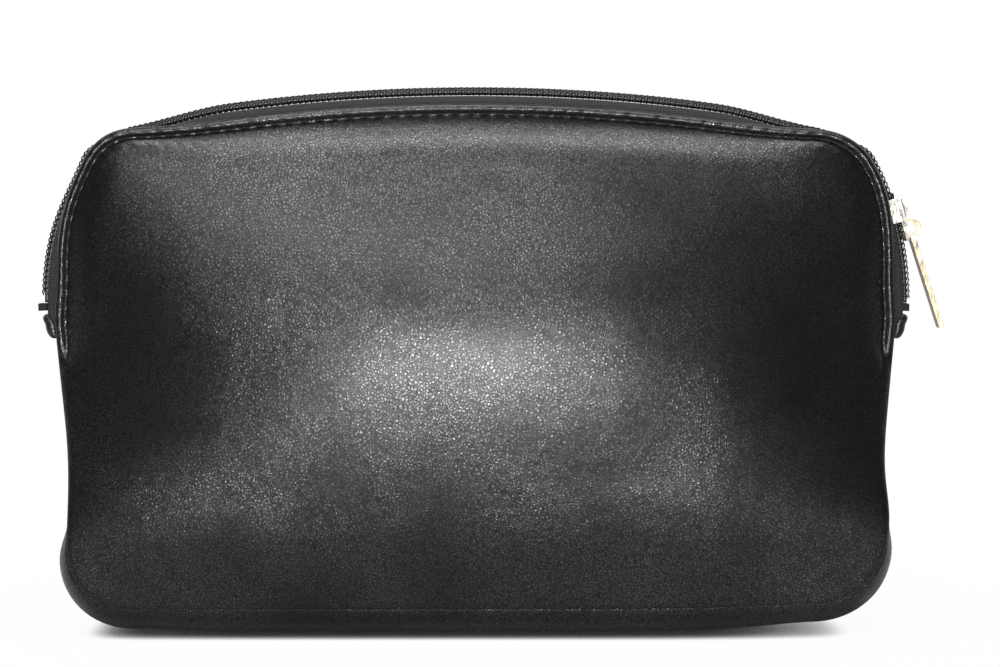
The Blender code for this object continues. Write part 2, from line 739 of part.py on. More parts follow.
def add_puller(arm, metal):
    """A flat pull tab whose eye is bowed out and held by a pin end under the slider's crown."""
    points = puller_centreline()
    outer = []
    inner = []
    for index, point in enumerate(points):
        run = (points[min(index + 1, len(points) - 1)] - points[max(index - 1, 0)]).normalized()
        share = min(index / EYE_STEPS, 1.0)
        half = mix(PULLER_PIN_RADIUS, PULLER_THICKNESS / 2, share)
        side = Vector((-run.y, run.x)) * half
        outer.append(point + side)
        inner.append(point - side)
    cap = []
    first = (inner[0] - points[0]).normalized()
    for step in range(1, PIN_STEPS):
        first.rotate(Matrix.Rotation(pi / PIN_STEPS, 2))
        cap.append(points[0] + first * PULLER_PIN_RADIUS)
    outline = outer + inner[::-1] + cap
    tab = prism("slider_puller", outline, -PULLER_HALF_WIDTH, PULLER_HALF_WIDTH, profile, metal)
    lower, below, above, top, pin = slider_levels()
    tab.location = (pin, 0.0, -PULLER_PIN_BELOW_CENTRE)
    tab.parent = arm
    end = points[-1].y - PULLER_THICKNESS
    neck = -EYE_LENGTH
    reach = PULLER_THICKNESS
    front = (
        (-EYE_HALF_WIDTH, reach), (-EYE_HALF_WIDTH, neck), (-PULLER_HALF_WIDTH - reach, neck - reach),
        (-PULLER_HALF_WIDTH - reach, end), (PULLER_HALF_WIDTH + reach, end),
        (PULLER_HALF_WIDTH + reach, neck - reach), (EYE_HALF_WIDTH, neck), (EYE_HALF_WIDTH, reach),
    )
    deep = EYE_BOW + PULLER_LENGTH
    combine(tab, prism("puller_outline_shape", front, -deep, deep, plan, metal), "INTERSECT")
    skin = PULLER_PIN_RADIUS * PIN_FLAT_SHARE
    hole = (
        (deep, neck + PULLER_PIN_RADIUS), (deep, reach), (skin, reach), (skin, -skin), (-deep, -skin),
        (-deep, neck + PULLER_PIN_RADIUS),
    )
    combine(tab, prism("puller_hole_shape", hole, -EYE_HALF_GAP, EYE_HALF_GAP, profile, metal), "DIFFERENCE")


def add_stiffener(material):
    """A stiff board between the base leather and the lining."""
    half_x = LOWER_HALF_WIDTH - BASE_CORNER_RADIUS - STIFFENER_END_MARGIN
    flat_share = (1.0 - 1.0 / FOLD_SHARPNESS) ** (1 / 3)
    half_y = BASE_HALF_DEPTH * flat_share - STIFFENER_SIDE_MARGIN
    corners = ((-half_x, -half_y), (half_x, -half_y), (half_x, half_y), (-half_x, half_y))
    outline = rounded_outline(corners, (half_y / 2,) * len(corners))
    low = LEATHER + SEAM_GAP
    prism("base_stiffener", outline, low, low + INTERLINING, lambda x, y, z: Vector((x, y, z)), material)


def clear_scene():
    for item in list(bpy.data.objects):
        bpy.data.objects.remove(item, do_unlink=True)


def main():
    clear_scene()
    leather = make_material("black_leather", (0.022, 0.022, 0.024), 0.42)
    board = make_material("interlining", (0.78, 0.77, 0.74), 0.85)
    cloth = make_material("black_lining", (0.03, 0.03, 0.033), 0.7)
    woven = make_material("zip_tape", (0.02, 0.02, 0.022), 0.8)
    nylon = make_material("zip_coil", (0.018, 0.018, 0.02), 0.4)
    gold = make_material("pale_gold", (0.83, 0.74, 0.56), 0.28, 1.0)
    depth = LEATHER + SEAM_GAP
    lined = depth + INTERLINING + SEAM_GAP
    for word, side in (("front", -1), ("back", 1)):
        add_panel_layer(f"{word}_panel", side, 0.0, LEATHER, (0.0, 0.0), LEATHER_RING_SHARES, leather)
        starts = (INTERLINING_INSET, INTERLINING_INSET)
        inner = depth + INTERLINING
        add_panel_layer(f"{word}_interlining", side, depth, inner, starts, LEATHER_RING_SHARES, board)
        starts = (LINING_TOP_INSET, 0.0)
        add_panel_layer(f"lining_{word}", side, lined, lined + LINING, starts, LINING_RING_SHARES, cloth)
        add_zip_tape(f"zip_tape_{word}", side, woven)
        add_zip_coil(f"zip_coil_{word}", side, nylon)
    add_gusset_layer("gusset", 0.0, LEATHER, SEAM_GAP, leather)
    add_gusset_layer("lining_gusset", lined, lined + LINING, LINING_SEAM_GAP, cloth)
    add_stiffener(board)
    add_zip_ends(nylon, leather)
    arm = bpy.data.objects.new("slider_arc_centre", None)
    bpy.context.scene.collection.objects.link(arm)
    arm.location = (ARCS[0].x, 0.0, ARCS[0].z)
    arm.rotation_euler = (0.0, -SLIDER_ANGLE, 0.0)
    add_slider(arm, gold)
    add_puller(arm, gold)


main()
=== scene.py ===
# The looks of the leather cosmetic bag: grained leather with turned and stitched edges, woven
# zip tapes, a wound coil, a plated slider with its pull tab, and the light of the photograph.
# Metres, in the frame of the CAD model: +Z up, +X to the right, the front faces -Y.

from collections import namedtuple
from math import atan2, cos, pi, radians, sin, sqrt

import bpy
import bmesh
import numpy as np
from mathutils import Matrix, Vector


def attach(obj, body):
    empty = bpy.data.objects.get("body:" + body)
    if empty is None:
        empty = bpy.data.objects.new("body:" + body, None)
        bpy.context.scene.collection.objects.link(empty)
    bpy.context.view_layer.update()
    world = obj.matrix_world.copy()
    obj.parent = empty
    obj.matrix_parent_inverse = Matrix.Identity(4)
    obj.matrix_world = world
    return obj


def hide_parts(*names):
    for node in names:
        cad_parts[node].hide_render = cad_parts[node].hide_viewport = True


# Sizes that the pieces are built on, most of them the CAD model's own
ZIP_PEAK_HEIGHT = 0.1282
SIDE_HALF_WIDTH = 0.101
SIDE_RADIUS = 0.070
SIDE_CENTRE_HEIGHT = 0.080
TOP_CORNER_RADIUS = 0.016
TOP_CORNER_START_ANGLE = radians(27.5)
LOWER_HALF_WIDTH = 0.0968
BASE_CORNER_RADIUS = 0.015
BASE_SEAM_HEIGHT = 0.0075
ZIP_HALF_DEPTH = 0.0122
BASE_HALF_DEPTH = 0.0235
BELLY_HALF_DEPTH = 0.035
BELLY_HEIGHT = 0.06
BELLY_LEAN = 0.05
CUSHION_GRID = 0.001
CUSHION_SAMPLES = (0.008, 0.013)
CUSHION_PASSES = 500
CUSHION_OVERSHOOT = 1.93
MIDDLE_SPREAD_SHARE = 0.2
MIDDLE_HEIGHT_SHARE = 0.44
SIDE_FOLD = 0.006
FOLD_END_HEIGHT = 0.034
GUSSET_TOP_ANGLE = radians(-5.4)
TURN_HEIGHT = 0.012
CORNER_LIFT_SHARE = 0.14
CORNER_LIFT_PLACE = 0.083
CORNER_LIFT_REACH = 0.018
ROLL_FADE = 1.2
LEATHER = 0.0014
INTERLINING = 0.0012
LINING = 0.0006
SEAM_GAP = 0.0003
TOP_BAND = 0.0033
TAPE = 0.0006
TAPE_BEND = 0.002
TAPE_INNER_EDGE = 0.00045
TAPE_END_ANGLE = radians(-5.0)
TAB_START_ANGLE = radians(-2.8)
SIDE_STAND_OUT = 0.0013
CORNER_SINK = 0.0017
SINK_RUN = 0.024
SINK_SHARE = 0.6
EDGE_DROP = 0.0012
CORNER_REACH = 0.0036
HEM_PLACE = (0.094, 0.109)
HEM_REACH = 0.019
HEM_FADE = 0.015
TOOTH_PITCH = 0.0014
TOOTH_OVERLAP = 0.00025
COIL_HALF_WIDTH = 0.0021
COIL_HEIGHT = 0.00175
COIL_SEAT_GAP = 0.00025
OPEN_HALF_GAP = 0.0012
OPEN_FULL_ANGLE = radians(20.8)
COIL_END_ANGLE = radians(-0.6)

# Spacing of the mesh along the bag's outline
ZIP_SPACING = 0.0006
LOWER_SPACING = 0.0012
ARC_STEPS = 400
SIDE_STEPS = 300
CORNER_STEPS = 120

Arc = namedtuple("Arc", "x z radius start end")
# Places along an outline: arrays of positions, outward directions and what else varies there
Line = namedtuple("Line", "x z nx nz depth turn bulge lift gap run")


def smooth(value):
    """Turn 0..1 into a soft step."""
    value = np.clip(value, 0.0, 1.0)
    return value * value * (3.0 - 2.0 * value)


def mix(first, second, amount):
    """The value that lies at an amount of 0..1 between two."""
    return first + (second - first) * amount


def bump(value, centre, width):
    """A soft hill of height 1."""
    return np.exp(-(((value - centre) / width) ** 2))


def zip_arcs():
    """The zip's path: right side, right corner, top, left corner, left side."""
    reach = SIDE_RADIUS - TOP_CORNER_RADIUS
    side_x = SIDE_HALF_WIDTH - SIDE_RADIUS
    corner_x = side_x + reach * cos(TOP_CORNER_START_ANGLE)
    corner_z = SIDE_CENTRE_HEIGHT + reach * sin(TOP_CORNER_START_ANGLE)
    drop = corner_z - ZIP_PEAK_HEIGHT
    top_radius = (TOP_CORNER_RADIUS ** 2 - corner_x ** 2 - drop ** 2) / (2 * (drop + TOP_CORNER_RADIUS))
    top_z = ZIP_PEAK_HEIGHT - top_radius
    meet = atan2(corner_z - top_z, corner_x)
    start = TOP_CORNER_START_ANGLE
    return [
        Arc(side_x, SIDE_CENTRE_HEIGHT, SIDE_RADIUS, GUSSET_TOP_ANGLE, start),
        Arc(corner_x, corner_z, TOP_CORNER_RADIUS, start, meet),
        Arc(0, top_z, top_radius, meet, pi - meet),
        Arc(-corner_x, corner_z, TOP_CORNER_RADIUS, pi - meet, pi - start),
        Arc(-side_x, SIDE_CENTRE_HEIGHT, SIDE_RADIUS, pi - start, pi - GUSSET_TOP_ANGLE),
    ]


ARCS = zip_arcs()
TAB_HEIGHT = SIDE_CENTRE_HEIGHT + SIDE_RADIUS * sin(GUSSET_TOP_ANGLE)


def stand_out(index, angle):
    """How far the zip stands out further than over the top: out at the sides, in at the top corners."""
    arc = ARCS[index]
    if index in (0, 4):
        angle = np.minimum(angle, pi - angle)
        return SIDE_STAND_OUT * smooth((angle - TAPE_END_ANGLE) / (TAB_START_ANGLE - TAPE_END_ANGLE))
    if index == 2:
        run = arc.radius * np.minimum(angle - arc.start, arc.end - angle)
        return -CORNER_SINK * (1.0 - smooth(run / SINK_RUN))
    share = (angle - arc.start) / (arc.end - arc.start)
    return mix(SIDE_STAND_OUT, -CORNER_SINK, smooth((share if index == 1 else 1.0 - share) / SINK_SHARE))


def open_gap(index, angle):
    """Half the gap between the zip's halves: they stand apart only where the slider runs."""
    if index:
        return 0.0 * angle
    return OPEN_HALF_GAP * (1.0 - smooth((angle - OPEN_FULL_ANGLE) / (ARCS[0].end - OPEN_FULL_ANGLE)))


def zip_line(start, end, out=0.0, spacing=ZIP_SPACING, places=None):
    """Places along the zip between two angles, evenly spaced at a distance out of the leather's edge."""
    fine = []
    for index, arc in enumerate(ARCS):
        first, last = max(arc.start, start), min(arc.end, end)
        angle = np.linspace(first, last, ARC_STEPS)
        lift = stand_out(index, angle)
        gap = open_gap(index, angle)
        nx, nz = np.cos(angle), np.sin(angle)
        fine.append(np.stack([arc.x + arc.radius * nx, arc.z + arc.radius * nz, nx, nz, lift, gap]))
    x, z, nx, nz, lift, gap = np.concatenate(fine, axis=1)
    far_x, far_z = x + nx * (lift + out), z + nz * (lift + out)
    run = np.concatenate([[0.0], np.cumsum(np.hypot(np.diff(far_x), np.diff(far_z)))])
    if places is None:
        places = np.linspace(0.0, run[-1], int(round(run[-1] / spacing)) + 1)
    x, z, nx, nz, lift, gap = (np.interp(places, run, values) for values in (x, z, nx, nz, lift, gap))
    length = np.hypot(nx, nz)
    none = np.zeros_like(places)
    return Line(x, z, nx / length, nz / length, none + ZIP_HALF_DEPTH, none, none, lift, gap, places)


def edge_depth(z):
    """Half the bag's depth at the panel's edge: narrow at the zip, wide at the base."""
    base_height = BASE_SEAM_HEIGHT + BASE_CORNER_RADIUS
    return mix(ZIP_HALF_DEPTH, BASE_HALF_DEPTH, smooth((TAB_HEIGHT - z) / (TAB_HEIGHT - base_height)))


def gusset_bulge(x, z):
    """How far the gusset stands out of the seam: folded in at the sides, full at the base."""
    fold = -SIDE_FOLD * np.sin(pi * np.clip((z - FOLD_END_HEIGHT) / (TAB_HEIGHT - FOLD_END_HEIGHT), 0, 1))
    low = np.clip((FOLD_END_HEIGHT - z) / (FOLD_END_HEIGHT - BASE_SEAM_HEIGHT), 0, 1) ** ROLL_FADE
    lift = CORNER_LIFT_SHARE * bump(np.abs(x), CORNER_LIFT_PLACE, CORNER_LIFT_REACH)
    return np.where(z > FOLD_END_HEIGHT, fold, BASE_SEAM_HEIGHT * low * (1.0 - lift))


def lower_line(spacing=LOWER_SPACING):
    """Places along the seam of panel and gusset, from the right end of the zip round to the left end."""
    x0 = ARCS[0].x + SIDE_RADIUS * cos(GUSSET_TOP_ANGLE)
    nx, nz = cos(GUSSET_TOP_ANGLE), sin(GUSSET_TOP_ANGLE)
    corner_x = LOWER_HALF_WIDTH - BASE_CORNER_RADIUS
    corner_z = BASE_SEAM_HEIGHT + BASE_CORNER_RADIUS
    pull = (TAB_HEIGHT - corner_z) / 2
    points = np.array([
        (x0, TAB_HEIGHT), (x0 + pull * nz, TAB_HEIGHT - pull * nx),
        (LOWER_HALF_WIDTH, corner_z + pull), (LOWER_HALF_WIDTH, corner_z),
    ])
    t = np.linspace(0, 1, SIDE_STEPS)[:, None]
    side = (
        points[0] * (1 - t) ** 3 + 3 * points[1] * t * (1 - t) ** 2
        + 3 * points[2] * t ** 2 * (1 - t) + points[3] * t ** 3
    )
    turn = np.linspace(0, -pi / 2, CORNER_STEPS)[1:]
    corner = BASE_CORNER_RADIUS * np.stack([np.cos(turn), np.sin(turn)], axis=1) + (corner_x, corner_z)
    half = np.concatenate([side, corner, [(0.0, BASE_SEAM_HEIGHT)]])
    whole = np.concatenate([half, half[-2::-1] * (-1, 1)])
    run = np.concatenate([[0.0], np.cumsum(np.linalg.norm(np.diff(whole, axis=0), axis=1))])
    places = np.linspace(0.0, run[-1], int(round(run[-1] / spacing)) + 1)
    x, z = np.interp(places, run, whole[:, 0]), np.interp(places, run, whole[:, 1])
    dx, dz = np.gradient(x), np.gradient(z)
    length = np.hypot(dx, dz)
    none = np.zeros_like(x)
    turn = smooth((TAB_HEIGHT - z) / TURN_HEIGHT)
    return Line(x, z, -dz / length, dx / length, edge_depth(z), turn, gusset_bulge(x, z), none, none, places)


def joined(first, second):
    """Two lines as one."""
    return Line(*(np.concatenate([a, b]) for a, b in zip(first, second)))


def trimmed_line(line, first, last):
    """A stretch of a line."""
    return Line(*(values[first:last] for values in line))


# How the soft leather lies: places (x, z), sizes (x, z) and depths of its swells and dents, in mm
FRONT_DENTS = (
    (36, 40, 14, 5, -0.15), (52, 35, 18, 7, 0.2), (70, 20, 18, 12, -0.3), (60, 100, 24, 9, 0.35),
    (-50, 104, 30, 9, 0.15), (-60, 50, 26, 16, 0.35), (8, 104, 30, 12, 0.3), (66, 62, 14, 26, 0.3),
)
BACK_DENTS = (
    (-6, 56, 50, 24, 0.9), (60, 62, 24, 28, 0.5), (-36, 38, 12, 4, -0.5), (-70, 24, 18, 12, -0.7),
    (84, 44, 10, 24, -0.5), (-60, 98, 22, 9, 0.5), (20, 100, 36, 9, 0.3), (-86, 64, 9, 22, -0.6),
)
MM = 0.001


def face_depth(z):
    """Distance of the panel's outer face from the bag's middle plane, where it is full."""
    return BELLY_HALF_DEPTH - BELLY_LEAN * (z - BELLY_HEIGHT)


def sagged(x, z, side):
    """Extra depth of the soft leather from its swells and dents."""
    total = 0.0 * x
    for mid_x, mid_z, wide, high, deep in (FRONT_DENTS if side < 0 else BACK_DENTS):
        total = total + deep * MM * np.exp(-((x / MM - mid_x) / wide) ** 2 - ((z / MM - mid_z) / high) ** 2)
    return total


def hemmed(line):
    """The line of the zip moved to the panel's turned edge, which stands over the zip at the top corners."""
    corner = bump(np.hypot(np.abs(line.x) - HEM_PLACE[0], line.z - HEM_PLACE[1]), 0.0, HEM_REACH)
    out = (CORNER_REACH * corner - EDGE_DROP) * smooth((line.z - TAB_HEIGHT) / HEM_FADE)
    return line._replace(x=line.x + line.nx * out, z=line.z + line.nz * out)


def panel_path():
    """The closed outline of a panel: down the right side, along the base, up the left, back over the top."""
    over = zip_line(GUSSET_TOP_ANGLE, pi - GUSSET_TOP_ANGLE)
    over = hemmed(Line(*(values[::-1] for values in over)))
    return joined(lower_line(), trimmed_line(over, 1, -1))


def cushion_heights(path):
    """Height of a thin sheet that is held along a panel's outline and blown up, on a regular grid."""
    xs = np.arange(-SIDE_HALF_WIDTH - 2 * CUSHION_GRID, SIDE_HALF_WIDTH + 3 * CUSHION_GRID, CUSHION_GRID)
    zs = np.arange(0.0, ZIP_PEAK_HEIGHT + 3 * CUSHION_GRID, CUSHION_GRID)
    x, z = np.meshgrid(xs, zs, indexing="ij")
    inside = np.zeros(x.shape, bool)
    for x1, z1, x2, z2 in zip(path.x, path.z, np.roll(path.x, -1), np.roll(path.z, -1)):
        if z1 != z2:
            inside ^= ((z1 > z) != (z2 > z)) & (x < x1 + (z - z1) * (x2 - x1) / (z2 - z1))
    inside[[0, -1]] = False
    inside[:, [0, -1]] = False
    even = np.add.outer(np.arange(len(xs)), np.arange(len(zs))) % 2 == 0
    height = np.zeros(x.shape)
    core = height[1:-1, 1:-1]
    for _ in range(CUSHION_PASSES):
        for colour in (inside & even, inside & ~even):
            around = (height[:-2, 1:-1] + height[2:, 1:-1] + height[1:-1, :-2] + height[1:-1, 2:] + 1.0) / 4
            core += np.where(colour[1:-1, 1:-1], CUSHION_OVERSHOOT * (around - core), 0.0)
    return xs, zs, height / height.max()


def cushion_at(x, z):
    """Height of the cushion, 0 at a panel's outline and 1 in its middle."""
    xs, zs, height = CUSHION
    i, j = (x - xs[0]) / CUSHION_GRID, (z - zs[0]) / CUSHION_GRID
    i, j = np.clip(i, 0, len(xs) - 1.001), np.clip(j, 0, len(zs) - 1.001)
    first, second = i.astype(int), j.astype(int)
    i, j = i - first, j - second
    low = mix(height[first, second], height[first + 1, second], i)
    high = mix(height[first, second + 1], height[first + 1, second + 1], i)
    return mix(low, high, j)


def panel_rings(path, inward, insets, steps, side):
    """Rings of one face of a panel, from its edge to its middle, where it is full.

    The first rings lie at the given distances from the edge, and steps more share out the rest. The face
    swells like a cushion behind the zip's flat band. Near the edge a parabola stands for the cushion, so
    that the steps of its grid don't show.
    """
    band = TOP_BAND * (1.0 - path.turn)
    start_x, start_z = path.x - path.nx * inward * path.turn, path.z - path.nz * inward * path.turn
    to_x, to_z = path.x * MIDDLE_SPREAD_SHARE - start_x, ZIP_PEAK_HEIGHT * MIDDLE_HEIGHT_SHARE - start_z
    size = np.hypot(to_x, to_z)
    to_x, to_z = to_x / size, to_z / size
    slant = mix(-(to_x * path.nx + to_z * path.nz), 1.0, path.turn)
    distances = [inset / slant for inset in insets]
    shares = np.linspace(0.0, LAST_SHARE, steps + 1)[1:]
    distances += [mix(distances[-1], size, share) for share in shares]
    first, second = (sample / slant for sample in CUSHION_SAMPLES)
    first_height, second_height = (
        cushion_at(start_x + to_x * run, start_z + to_z * run) for run in (first, second)
    )
    first, second = first - band, second - band
    curve = (first_height / first - second_height / second) / (first - second)
    climb = first_height / first - curve * first
    rings = []
    for distance in distances:
        x, z = start_x + to_x * distance, start_z + to_z * distance
        run = np.clip(distance - band, 0.0, second)
        height = np.where(distance - band < second, climb * run + curve * run ** 2, cushion_at(x, z))
        swell = np.maximum(height, 0.0)
        face = face_depth(z) + sagged(x, z, side) - inward
        rings.append(np.stack([x, mix(edge_depth(z) - inward * (1.0 - path.turn), face, swell), z], axis=1))
    return rings


def grid_faces(rows, columns, wrap_columns=False, wrap_rows=False, start=0):
    """Quads of a grid of points, row by row, that closes on itself where asked."""
    row = np.arange(rows if wrap_rows else rows - 1)
    column = np.arange(columns if wrap_columns else columns - 1)
    row, column = (part.ravel() for part in np.meshgrid(row, column, indexing="ij"))
    after_row, after_column = (row + 1) % rows, (column + 1) % columns
    corners = (
        row * columns + column, row * columns + after_column,
        after_row * columns + after_column, after_row * columns + column,
    )
    return np.stack(corners, axis=1) + start


def add_mesh(name, points, faces, material, body, replaces=(), polygons=()):
    """A smooth piece of the object that rides on a body and may stand for CAD nodes."""
    mesh = bpy.data.meshes.new(name)
    quads = [list(map(int, face)) for face in faces] + [list(map(int, face)) for face in polygons]
    mesh.from_pydata([tuple(map(float, point)) for point in points], [], quads)
    shell = bmesh.new()
    shell.from_mesh(mesh)
    bmesh.ops.recalc_face_normals(shell, faces=shell.faces)
    shell.to_mesh(mesh)
    shell.free()
    mesh.shade_smooth()
    mesh.materials.append(material)
    item = bpy.data.objects.new(name, mesh)
    bpy.context.scene.collection.objects.link(item)
    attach(item, body)
    if replaces:
        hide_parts(*replaces)
    return item


# Leather panels: the rolled lip, the raised band, the groove of the topstitch, and the swell behind it
LIP = 0.0007
BAND_CROWN = 0.0008
BAND_LEAN = 1.15
BAND_FLATNESS = 0.75
BAND_PULL = 0.12
BAND_WAVES = (410.0, 130.0, 1130.0)
BAND_WAVE_SHARES = (0.06, 0.05)
STITCH_INSET = 0.0025
GROOVE_DEPTH = 0.0007
GROOVE_WIDTH = 0.00045
PILLOW_INSET = 0.0046
PILLOW_WIDTH = 0.0013
PILLOW_HEIGHT = 0.0002
STITCH_PITCH = 0.0037
SEAM_ROLL = 0.0014
SEAM_SINK = 0.0009
OUTER_INSETS = [MM * value for value in (
    0, 0.04, 0.12, 0.25, 0.45, 0.7, 1.1, 1.6, 2.1, 2.6, 2.9, 3.1, 3.3, 3.5, 3.7, 3.9, 4.2, 4.6, 5.1, 5.7,
    6.4, 7.3, 8.5, 10,
)]
INNER_INSETS = [MM * value for value in (0, 0.3, 0.7, 2, 4, 7, 10)]
FACE_STEPS = 30
INNER_STEPS = 14
LAST_SHARE = 0.97


def band_relief(inset, run):
    """Height of the turned edge over the flat band, at a distance from the edge and along the zip."""
    lip = -LIP * (1.0 - sqrt(1.0 - (1.0 - min(inset / LIP, 1.0)) ** 2))
    crown = BAND_CROWN * abs(sin(pi * min(inset / STITCH_INSET, 1.0) ** BAND_LEAN)) ** BAND_FLATNESS
    pull = np.cos(2 * pi * run / STITCH_PITCH)
    slow = np.sin(run * BAND_WAVES[0] + 3 * np.sin(run * BAND_WAVES[1]))
    fast = np.sin(run * BAND_WAVES[2])
    crown = crown * (1.0 - BAND_PULL * pull + BAND_WAVE_SHARES[0] * slow + BAND_WAVE_SHARES[1] * fast)
    groove = -GROOVE_DEPTH * bump(inset, STITCH_INSET, GROOVE_WIDTH) * (0.7 - 0.3 * pull)
    pillow = PILLOW_HEIGHT * bump(inset, PILLOW_INSET, PILLOW_WIDTH) * (0.75 + 0.25 * pull)
    return lip + crown + groove + pillow


def seam_relief(inset):
    """How far the panel rolls in to its seam with the gusset, at a distance from the seam."""
    return -SEAM_SINK * (1.0 - sqrt(1.0 - (1.0 - min(inset / SEAM_ROLL, 1.0)) ** 2))


def closing_faces(ring, start):
    """Triangles across the slit that the innermost ring leaves in the middle of a face."""
    count = len(ring)
    right, left = int(np.argmax(ring[:, 0])), int(np.argmin(ring[:, 0]))
    chains = []
    for step in (1, -1):
        chain = [right]
        while chain[-1] != left:
            chain.append((chain[-1] + step) % count)
        chains.append(chain)
    first, second = chains
    faces = []
    i = j = 0
    while i < len(first) - 1 or j < len(second) - 1:
        next_i, next_j = min(i + 1, len(first) - 1), min(j + 1, len(second) - 1)
        if j == len(second) - 1 or (i < len(first) - 1 and ring[first[next_i], 0] >= ring[second[next_j], 0]):
            faces.append((first[i], first[next_i], second[j]))
            i = next_i
        else:
            faces.append((first[i], second[next_j], second[j]))
            j = next_j
    return [[start + index for index in face] for face in faces if len(set(face)) == 3]


def panel_layer(side, outer, inner, edge, insets, steps, relief=False):
    """Points and faces of one layer of a panel, between two distances from the bag's outside."""
    path = panel_path()
    outside = panel_rings(path, outer, [edge + inset for inset in insets[0]], steps[0], side)
    if relief:
        for ring, inset in zip(outside, insets[0]):
            ring[:, 1] += mix(band_relief(inset, path.run), seam_relief(inset), path.turn)
    inside = panel_rings(path, inner, [edge + inset for inset in insets[1]], steps[1], side)
    rings = outside[::-1] + inside
    points = np.concatenate(rings)
    points[:, 1] *= side
    count = len(path.x)
    faces = grid_faces(len(rings), count, wrap_columns=True)
    caps = closing_faces(rings[0], 0) + closing_faces(rings[-1], count * (len(rings) - 1))
    return points, faces, caps


# Gusset: a roll along the base, folded in at the sides
GUSSET_STEPS = 48
SEAM_TUCK = 0.0013
TUCK_SHARE = 0.2
ROLL_ACROSS = 4.0
ROLL_UP = 1.2
FOLD_CURVE = 1.6
BOARD_HALF_LENGTH = 0.072
BOARD_SKIPPED_ROWS = 13


def gusset_section(line, inward, inset):
    """Rows of points across the gusset, from the front seam to the back seam."""
    half = line.depth - inset - (1.0 - line.turn) * inward
    rows = []
    for turn in np.linspace(-pi / 2, pi / 2, GUSSET_STEPS + 1):
        across = np.sign(turn) * abs(sin(turn)) ** (2 / ROLL_ACROSS)
        up = abs(cos(turn)) ** (2 / ROLL_UP)
        flat = turn * 2 / pi
        full = smooth(line.bulge / BASE_SEAM_HEIGHT * 2)
        y = half * mix(flat, across, full)
        out = line.bulge * mix(1.0 - abs(flat) ** FOLD_CURVE, up, full) - inward
        tuck = SEAM_TUCK * (1.0 - smooth(abs(cos(turn)) / TUCK_SHARE))
        rows.append(np.stack([line.x + line.nx * (out - tuck), y, line.z + line.nz * (out - tuck)], axis=1))
    return rows


def gusset_layer(outer, inner, inset, board=False):
    """Points and faces of a layer of the gusset between two distances from the outside, or of its board."""
    line = lower_line()
    rows = slice(None)
    if board:
        kept = np.flatnonzero((np.abs(line.x) < BOARD_HALF_LENGTH) & (line.z < FOLD_END_HEIGHT))
        line = trimmed_line(line, kept[0], kept[-1] + 1)
        rows = slice(BOARD_SKIPPED_ROWS, -BOARD_SKIPPED_ROWS)
    rows = gusset_section(line, outer, inset)[rows] + gusset_section(line, inner, inset)[rows][::-1]
    points = np.concatenate(rows)
    count = len(line.x)
    faces = grid_faces(len(rows), count, wrap_rows=True)
    caps = [[row * count for row in range(len(rows))], [row * count + count - 1 for row in range(len(rows))]]
    return points, faces, caps


def strip(line, section_out, section_in):
    """A strip along a line, from its outer and inner points across it: (y, out) pairs of arrays."""
    rows = []
    for y, out in list(section_out) + list(section_in)[::-1]:
        rows.append(np.stack([line.x + line.nx * out, y + 0 * line.x, line.z + line.nz * out], axis=1))
    count = len(line.x)
    faces = grid_faces(len(rows), count, wrap_rows=True)
    caps = [[row * count for row in range(len(rows))], [row * count + count - 1 for row in range(len(rows))]]
    return np.concatenate(rows), faces, caps


def tape_layer(side):
    """A tape that lies flat under the coil, bends down and runs behind the leather's edge."""
    line = zip_line(TAPE_END_ANGLE, pi - TAPE_END_ANGLE)
    outer_y = ZIP_HALF_DEPTH - LEATHER - SEAM_GAP
    flat_y = outer_y - TAPE_BEND
    outer, inner = [], []
    edge = TAPE_INNER_EDGE + line.gap
    base = line.lift
    for share in np.linspace(0, 1, 12):
        y = mix(edge, flat_y, share)
        outer.append((y, base + TAPE))
        inner.append((y, base))
    for turn in np.linspace(0, pi / 2, 9)[1:]:
        outer.append((flat_y + TAPE_BEND * sin(turn), base + TAPE - TAPE_BEND * (1 - cos(turn))))
        inner.append((flat_y + (TAPE_BEND - TAPE) * sin(turn), base - (TAPE_BEND - TAPE) * (1 - cos(turn))))
    for share in np.linspace(0, 1, 5)[1:]:
        outer.append((outer_y, mix(base + TAPE - TAPE_BEND, -TOP_BAND, share)))
        inner.append((outer_y - TAPE, mix(base - TAPE_BEND + TAPE, -TOP_BAND, share)))
    points, faces, caps = strip(line, outer, inner)
    points[:, 1] *= side
    return points, faces, caps


def tube(path, radius, sides=6):
    """Points and faces of a round tube along a path."""
    tangent = np.gradient(path, axis=0)
    tangent /= np.linalg.norm(tangent, axis=1)[:, None]
    normal = np.cross(tangent[0], (0.3, 0.5, 0.8))
    normals = []
    for direction in tangent:
        normal = normal - direction * normal.dot(direction)
        normal /= np.linalg.norm(normal)
        normals.append(normal)
    normals = np.array(normals)
    across = np.cross(tangent, normals)
    angle = np.arange(sides) * 2 * pi / sides
    points = (
        path[:, None] + radius
        * (normals[:, None] * np.cos(angle)[None, :, None] + across[:, None] * np.sin(angle)[None, :, None])
    ).reshape(-1, 3)
    faces = grid_faces(len(path), sides, wrap_columns=True)
    last = (len(path) - 1) * sides
    return points, faces, [list(range(sides))[::-1], [last + step for step in range(sides)]]


def gathered(parts):
    """Several tubes as one mesh."""
    points, faces, caps, start = [], [], [], 0
    for part_points, part_faces, part_caps in parts:
        points.append(part_points)
        faces.append(part_faces + start)
        caps += [[index + start for index in cap] for cap in part_caps]
        start += len(part_points)
    return np.concatenate(points), np.concatenate(faces), caps


# Coil: each half is a flattened helix of one filament, held down by a sewn thread
FILAMENT = 0.00042
COIL_TURN_STEPS = 20
COIL_SQUARENESS = 0.75
COIL_EASE = 0.03
CORE_RADIUS = 0.0006
CORE_ACROSS = 0.0011


SEWING_RADIUS = 0.00014
SEWING_ROWS = (0.0013, 0.00175)
SEWING_LIFT = 0.00006
SEWING_DIP = 0.00012


